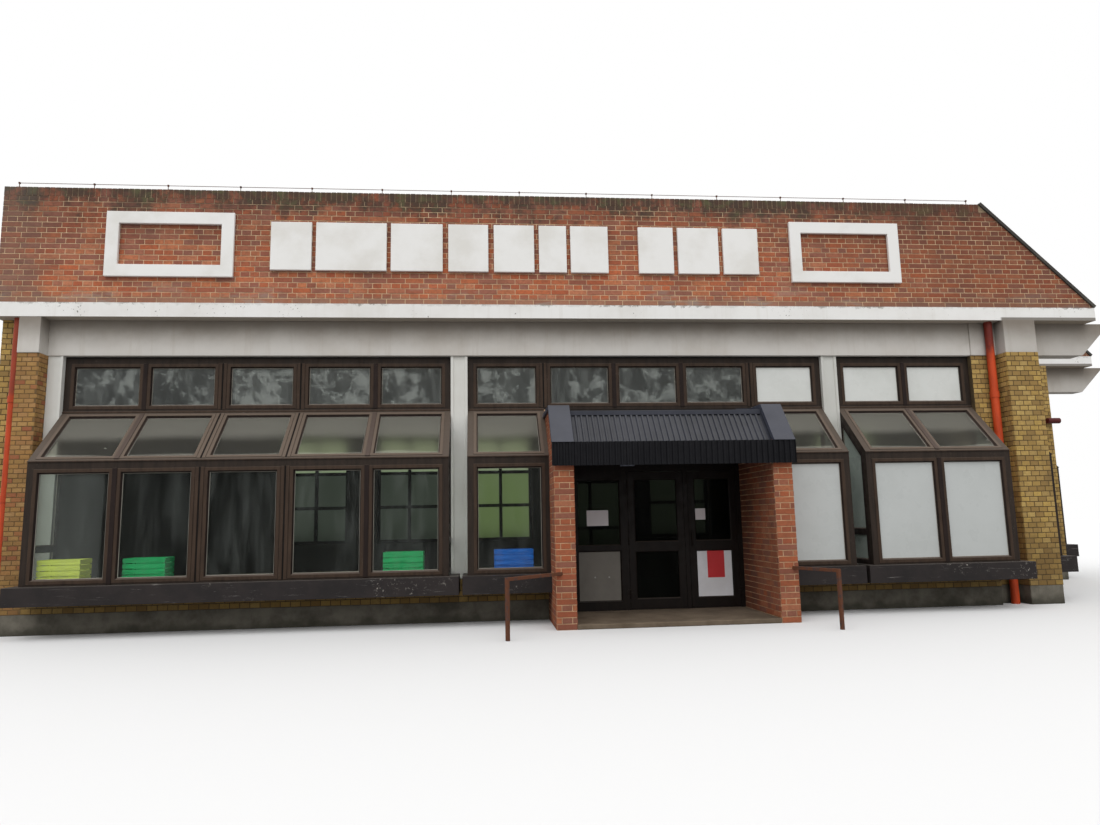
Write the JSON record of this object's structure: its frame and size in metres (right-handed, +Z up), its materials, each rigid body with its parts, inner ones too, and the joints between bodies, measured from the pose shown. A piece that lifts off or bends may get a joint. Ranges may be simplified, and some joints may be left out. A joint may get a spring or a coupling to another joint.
{
  "type": "railway station building",
  "caption": "Small single-storey railway station with canted glazed bays, deep brick parapet with raked end, stepped plan, and a porch with two hinged doors.",
  "frame": {"origin": "on the ground below the middle of the hall, on the porch's centre line", "axes": "+X along the street front towards the stepped end, +Y from the street into the building, +Z up"},
  "size_m": [19.33, 8.8083, 6.136],
  "materials": {
    "red_brick": "fired brick, weathered",
    "yellow_brick": "buff brick, dark joints",
    "rear_brick": "buff brick, dark joints",
    "white_render": "painted render, matt",
    "concrete": "bare concrete",
    "window_frame": "dark brown, satin",
    "window_glass": "clear, dusty",
    "sill_metal": "dark grey-brown, scuffed",
    "sill_wood": "painted board",
    "ribbed_metal": "anthracite, satin",
    "cap_metal": "grey-blue, satin",
    "roofing": "dark roofing felt",
    "pipe_paint": "orange-red, faded",
    "door_frame": "very dark brown, satin",
    "door_glass": "dark, clear",
    "grey_panel": "grey, matt",
    "white_panel": "white, matt",
    "rusty_steel": "rusted paint",
    "dark_wood": "dark stained",
    "crate_wood": "painted slats",
    "floor_concrete": "worn concrete"
  },
  "bodies": {
    "building": {"base_walls": "yellow_brick", "bay_1_frame": "window_frame", "bay_2_frame": "window_frame", "bay_3_frame": "window_frame", "bay_cheeks": "window_frame", "bay_glass": "window_glass", "bay_sills": "sill_metal", "canopy_bearer": "dark_wood", "canopy_caps": "cap_metal", "canopy_deck": "cap_metal", "canopy_fascia": "ribbed_metal", "canopy_sheet": "ribbed_metal", "cantilever_beams": "white_render", "clerestory_frames": "window_frame", "corner_piers": "yellow_brick", "downpipe_left": "pipe_paint", "downpipe_right": "pipe_paint", "fascia_beam": "white_render", "floor_slab": "floor_concrete", "handrails": "rusty_steel", "left_pier": "yellow_brick", "lightning_wire": "rusty_steel", "parapet_front": "red_brick", "parapet_party": "red_brick", "parapet_rear": "red_brick", "parapet_step": "red_brick", "party_wall": "rear_brick", "pier_heads": "white_render", "pilasters": "white_render", "pipe_strips": "yellow_brick", "plinth_front": "concrete", "plinth_side": "concrete", "porch_floor": "floor_concrete", "porch_soffit": "dark_wood", "porch_walls": "red_brick", "rear_door": "window_frame", "rear_glass": "window_glass", "rear_wall": "rear_brick", "rear_windows": "window_frame", "roof_deck": "roofing", "roof_slab": "white_render", "roof_slopes": "roofing", "screen_head": "door_frame", "screen_posts": "door_frame", "side_bay_frames": "window_frame", "side_fascia": "white_render", "side_light_frame": "door_frame", "side_light_glass": "door_glass", "side_light_panel": "grey_panel", "side_piers": "yellow_brick", "sill_boards": "sill_wood", "window_crates": "crate_wood"},
    "door_centre": {"door_centre": "door_frame", "door_centre_glass": "door_glass"},
    "door_right": {"door_right": "door_frame", "door_right_glass": "door_glass", "door_right_panel": "white_panel"}
  },
  "joints": [
    {"name": "door_centre_hinge", "type": "hinge", "parent": "building", "child": "door_centre", "pos_m": [-0.3675, -3.267, 1], "axis": [0, 0, -1], "range_deg": [0, 85]},
    {"name": "door_right_hinge", "type": "hinge", "parent": "building", "child": "door_right", "pos_m": [1.2275, -3.267, 1], "axis": [0, 0, 1], "range_deg": [0, 85]}
  ]
}
